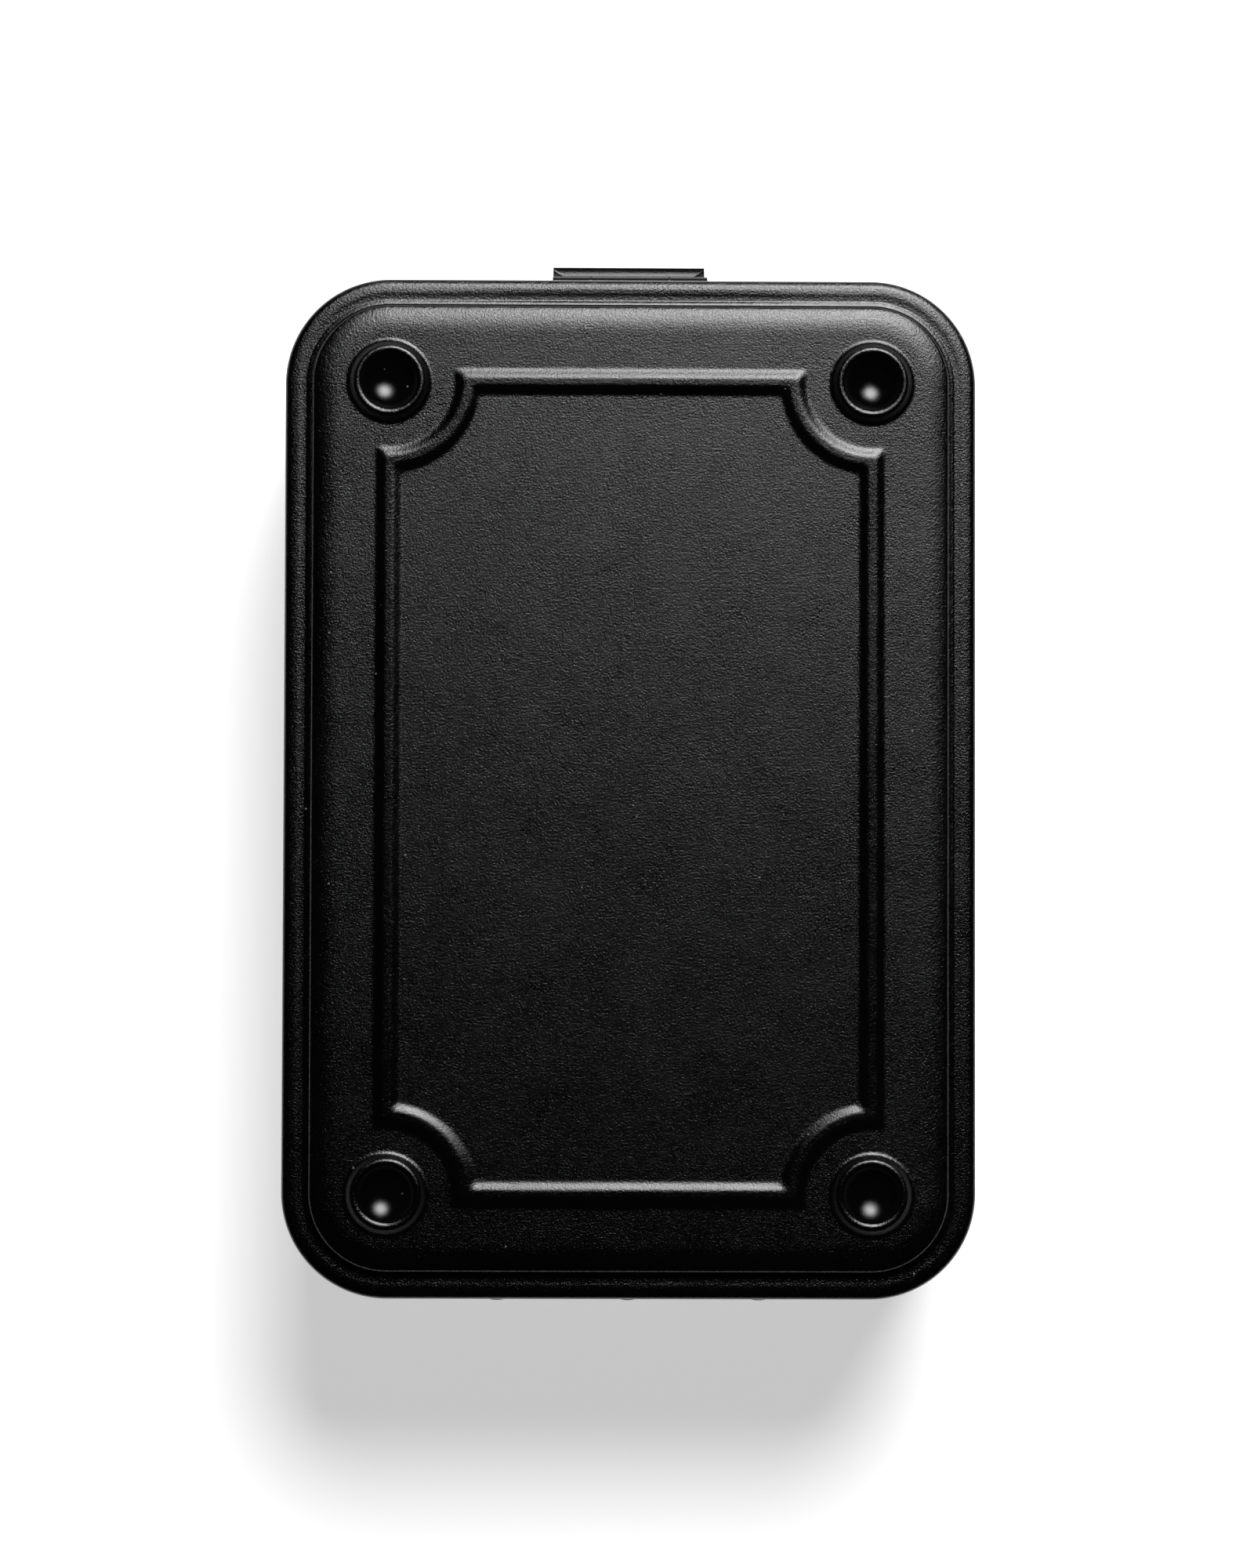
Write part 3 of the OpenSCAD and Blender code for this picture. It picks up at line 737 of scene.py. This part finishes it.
def hinge():
    """Two leaves that roll round one wire, with their rivets."""
    axis = joint_mm("lid_hinge")
    leaf_t, wire_r, play = 0.4, 0.5, 0.03
    out, z = axis[1] - HY, axis[2]
    roll = wire_r + play + leaf_t / 2
    half = mm_box("tray_hinge_leaf")[1][0]
    middle = half * 0.4
    top, low = mm_box("lid_hinge_leaf")[1][2], mm_box("tray_hinge_leaf")[0][2]
    flat = leaf_t / 2
    lid_path = [(flat, v) for v in np.linspace(top, PART_Z + 2.2, 6)]
    lid_roll = [(flat, PART_Z + 2.4)] + arc(out, z, roll, 95, -200, 28)
    hardware("hinge_leaf_lid", to_back, [sheet(lid_path, -half, half, leaf_t, 24, (1.5, 0)),
                                         sheet(lid_roll, -middle, middle, leaf_t, 16)],
             "lid", "lid_hinge_leaf")
    tray_path = [(flat, v) for v in np.linspace(low, PART_Z - 1.4, 6)]
    tray_roll = [(flat, PART_Z - 1.6)] + arc(out, z, roll, -95, 200, 28)
    pieces = [sheet(tray_path, -half, half, leaf_t, 24, (1.5, 0))]
    for side in (-1, 1):
        a, b = sorted((side * (middle + KNUCKLE_GAP), side * half))
        pieces.append(sheet(tray_roll, a, b, leaf_t, 10))
    hardware("hinge_leaf_tray", to_back, pieces, "box", "tray_hinge_leaf")
    pin("hinge_wire", "hinge_pin", "box")
    rivets("hinge_rivets_lid", "lid_hinge_rivets", to_back, leaf_t + T, "lid", 3)
    rivets("hinge_rivets_tray", "tray_hinge_rivets", to_back, leaf_t + T, "box", 3)


def latch():
    """A base plate on the lid, and the strap that turns on its wire."""
    axis = joint_mm("latch_hinge")
    plate_t, wire_r, play = 0.5, 0.6, 0.03
    out, z = -HY - axis[1], axis[2]
    roll = wire_r + play + plate_t / 2
    half, top = mm_box("latch_bracket")[1][0], mm_box("latch_bracket")[1][2]
    middle = half * 0.5
    flat = plate_t / 2
    base_path = [(flat, v) for v in np.linspace(top, PART_Z + 4.5, 6)]
    base_roll = [(flat, PART_Z + 4.9), (0.3, z + 1.05)] + arc(out, z, roll, 140, -130, 26)
    pieces = [sheet(base_path, -half, half, plate_t, 24, (1.2, 0))]
    for side in (-1, 1):
        a, b = sorted((side * (middle + KNUCKLE_GAP), side * half))
        pieces.append(sheet(base_roll, a, b, plate_t, 8))
    hardware("latch_base", to_front, pieces, "lid", "latch_bracket")

    # the strap: down past the rib that snaps over the catch, then flared out into the finger lip
    s = PART_Z
    wall, lip_r, lip_mid = 2.3, 2.8, 5.8
    strap = [(wall, z - 1.7), (wall, s - 4.4)]
    strap += rounded([(wall, s - 4.6), (1.92, s - 5.4), (1.86, s - 6.0), (1.92, s - 6.6), (wall, s - 7.4),
                      (2.34, s - 9.6), (3.0, s - 11.3), (4.05, s - 12.14)], 0.8, 5)
    strap += rounded([(4.15, s - 12.18), (4.5, s - 12.3), (4.74, s - 12.52), (4.9, s - 12.595)], 0.1, 3)
    strap += arc(lip_mid, s - 12.75 + lip_r, lip_r, 253, 283.5, 10)

    def scoop(row, w):
        """The lip's back wall turns outward at both ends, so the flare makes a shallow scoop."""
        t = 0.632 * (np.abs(row[:, 0]) - half + 1.75) - 0.776 * (row[:, 1] - 4.75)
        low = (w > 0.5) & (row[:, 1] > 4.7)
        row[:, 2] += np.where(low, 0.8 * np.clip(t, 0, None) ** 1.2, 0)
        return row

    plate_roll = [(wall, z - 1.9), (wall, z - 0.6)] + arc(out, z, roll, -18, 262, 28)
    hardware("latch", to_front, [sheet(strap, -half, half, plate_t, 96, (0.6, 0), scoop),
                                 sheet(plate_roll, -middle, middle, plate_t, 20)],
             "latch", "latch_plate")
    pin("latch_wire", "latch_pin", "lid")
    rivets("latch_rivets", "latch_bracket_rivets", to_front, plate_t + T, "lid", 2)


def catch():
    """The ribbed plate on the tray that the strap snaps over."""
    lo, hi = mm_box("tray_catch")
    plate_t = 0.5
    s = PART_Z
    flat = plate_t / 2
    path = rounded([(flat, lo[2]), (flat, s - 5.5), (0.55, s - 4.9), (1.05, s - 4.1), (0.95, s - 3.5),
                    (0.5, s - 2.8), (flat, s - 2.3), (flat, hi[2])], 0.5, 5)
    hardware("catch", to_front, [sheet(path, -hi[0], hi[0], plate_t, 24, (1.0, 0.6))], "box", "tray_catch")
    rivets("catch_rivets", "tray_catch_rivets", to_front, plate_t + T, "box", 2)


hinge()
latch()
catch()


# ---------------------------------------------------------------- floor, light, camera
def white_floor():
    me = bpy.data.meshes.new("floor")
    me.from_pydata([(-3, -3, 0), (3, -3, 0), (3, 3, 0), (-3, 3, 0)], [], [[0, 1, 2, 3]])
    floor = bpy.data.objects.new("floor", me)
    bpy.context.scene.collection.objects.link(floor)
    white = bpy.data.materials.new("floor_white")
    white.use_nodes = True
    base = white.node_tree.nodes["Principled BSDF"]
    base.inputs["Base Color"].default_value = (0.8, 0.8, 0.8, 1)
    base.inputs["Emission Color"].default_value = (1, 1, 1, 1)
    base.inputs["Emission Strength"].default_value = BACKDROP
    base.inputs["Roughness"].default_value = 0.9
    base.inputs["Specular IOR Level"].default_value = 0.0
    me.materials.append(white)


def studio_world():
    """Dark overhead, with a pale backdrop just above the horizon."""
    world = bpy.data.worlds.new("studio")
    world.use_nodes = True
    tree = world.node_tree
    sky = tree.nodes.new("ShaderNodeTexCoord")
    height = tree.nodes.new("ShaderNodeSeparateXYZ")
    fade = tree.nodes.new("ShaderNodeMapRange")
    fade.inputs["From Min"].default_value = 0.05
    fade.inputs["From Max"].default_value = 0.12
    fade.inputs["To Min"].default_value = BACKDROP
    fade.inputs["To Max"].default_value = 0.008
    tree.links.new(sky.outputs["Generated"], height.inputs[0])
    tree.links.new(height.outputs[2], fade.inputs["Value"])
    background = tree.nodes["Background"]
    background.inputs[0].default_value = (1, 1, 1, 1)
    tree.links.new(fade.outputs[0], background.inputs[1])
    bpy.context.scene.world = world


def round_light(name, pos, target, size, radiance):
    d = bpy.data.lights.new(name, "AREA")
    d.shape = "ELLIPSE"
    d.size, d.size_y = size, size
    d.energy = radiance * math.pi * math.pi / 4 * size * size
    o = bpy.data.objects.new(name, d)
    bpy.context.scene.collection.objects.link(o)
    o.location = pos
    o.rotation_euler = (Vector(pos) - Vector(target)).to_track_quat("Z", "Y").to_euler()


def top_camera(distance, view_height, target, tilt_y, tilt_x, roll):
    """Looks almost straight down, with the latch at the top of the picture."""
    cam = bpy.data.cameras.new("camera")
    ob = bpy.data.objects.new("camera", cam)
    bpy.context.scene.collection.objects.link(ob)
    away = Vector((math.sin(tilt_x), math.sin(tilt_y), math.cos(tilt_x) * math.cos(tilt_y))).normalized()
    up = Vector((math.sin(roll), -math.cos(roll), 0))
    right = up.cross(away).normalized()
    m = Matrix((right, away.cross(right).normalized(), away)).transposed().to_4x4()
    m.translation = target + away * distance
    ob.matrix_world = m
    cam.sensor_width = 36
    cam.sensor_fit = "AUTO"
    cam.lens = 36 * distance / view_height
    cam.clip_start = 0.01
    bpy.context.scene.camera = ob


BACKDROP = 0.55
white_floor()
bpy.context.scene.view_settings.view_transform = "Standard"
studio_world()
round_light("key", pos=(-0.23, -0.86, 1.22), target=(0, 0, 0.05), size=0.76, radiance=20.5)
top_camera(distance=0.65, view_height=0.2375, target=Vector((0.00042, -0.00052, RIM_Z * MM)),
           tilt_y=math.radians(2.15), tilt_x=math.radians(0.75), roll=math.radians(0.17))
bpy.context.view_layer.update()
